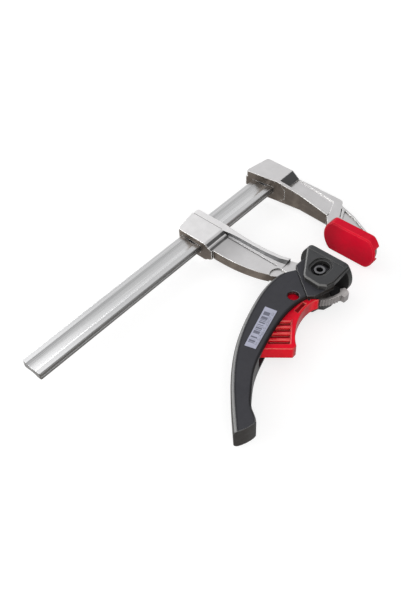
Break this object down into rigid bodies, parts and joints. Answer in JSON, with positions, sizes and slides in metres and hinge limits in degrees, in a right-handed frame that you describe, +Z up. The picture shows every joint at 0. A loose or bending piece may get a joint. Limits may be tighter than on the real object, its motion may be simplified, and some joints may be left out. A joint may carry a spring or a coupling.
{
  "type": "quick release bar clamp",
  "caption": "Light bar clamp with a fixed arm, a sliding arm, a curved ratcheting handle that drives a swivelling pressure plate, and a quick release trigger",
  "frame": {"origin": "centre of the fixed clamping face, the outer face of the protective cap", "axes": "+X along the rail from the moving jaw to the fixed jaw, +Y from the jaws to the rail, +Z up, square to the clamp's flat side"},
  "size_m": [0.2577, 0.1529, 0.0268],
  "materials": {
    "rail_steel": "drawn and zinc plated",
    "cast_metal": "die cast, fine satin",
    "pin_steel": "ground",
    "sector_steel": "stamped and plated",
    "rivet_steel": "blackened",
    "spring_steel": "bright wire",
    "cap_red": "soft satin",
    "trigger_red": "satin gloss",
    "handle_black": "fine texture",
    "plate_black": "glass filled, semi-matte",
    "label_film": "silver film"
  },
  "bodies": {
    "frame": {"rail": "rail_steel", "fixed_arm": "cast_metal", "fixed_arm_pins": "pin_steel", "protective_cap": "cap_red"},
    "sliding_arm": {"sliding_arm": "cast_metal", "outer_grip_pin": "pin_steel", "inner_grip_pin": "pin_steel", "ratchet_sector": "sector_steel", "sector_rivets": "pin_steel", "pivot_rivet": "rivet_steel"},
    "handle": {"handle_body": "handle_black", "upper_head_cheek": "handle_black", "lower_head_cheek": "handle_black", "upper_lever_plate": "sector_steel", "lower_lever_plate": "sector_steel", "head_bushes": "plate_black", "label": "label_film", "trigger_pin": "pin_steel", "trigger_spring": "spring_steel"},
    "thrust": {"thrust_slide": "sector_steel", "thrust_studs": "pin_steel", "plate_pin": "pin_steel"},
    "plate": {"pressure_plate": "plate_black"},
    "trigger": {"release_trigger": "trigger_red", "pawl": "sector_steel", "pawl_rivets": "pin_steel"}
  },
  "joints": [
    {"name": "arm_slide", "type": "slide", "parent": "frame", "child": "sliding_arm", "axis": [1, 0, 0], "range_m": [-0.136, 0.023]},
    {"name": "handle_turn", "type": "hinge", "parent": "sliding_arm", "child": "handle", "pos_m": [-0.042, -0.004, 0], "axis": [0, 0, 1], "range_deg": [-18, 40]},
    {"name": "plate_advance", "type": "slide", "parent": "sliding_arm", "child": "thrust", "axis": [1, 0, 0], "range_m": [-0.0025, 0.0012]},
    {"name": "plate_swivel", "type": "hinge", "parent": "thrust", "child": "plate", "pos_m": [-0.0296, -0.004, 0], "axis": [0, 0, 1], "range_deg": [-4, 4]},
    {"name": "trigger_press", "type": "hinge", "parent": "handle", "child": "trigger", "pos_m": [-0.06804, 0.00398, 0], "axis": [0, 0, 1], "range_deg": [-8, 0], "stiffness_Nm_per_rad": 0.5, "springref_deg": 11.46, "deforming": ["trigger_spring"]}
  ],
  "couplings": [
    {"joint": "plate_advance", "follows": "handle_turn", "m_per_rad": -0.0034377}
  ]
}
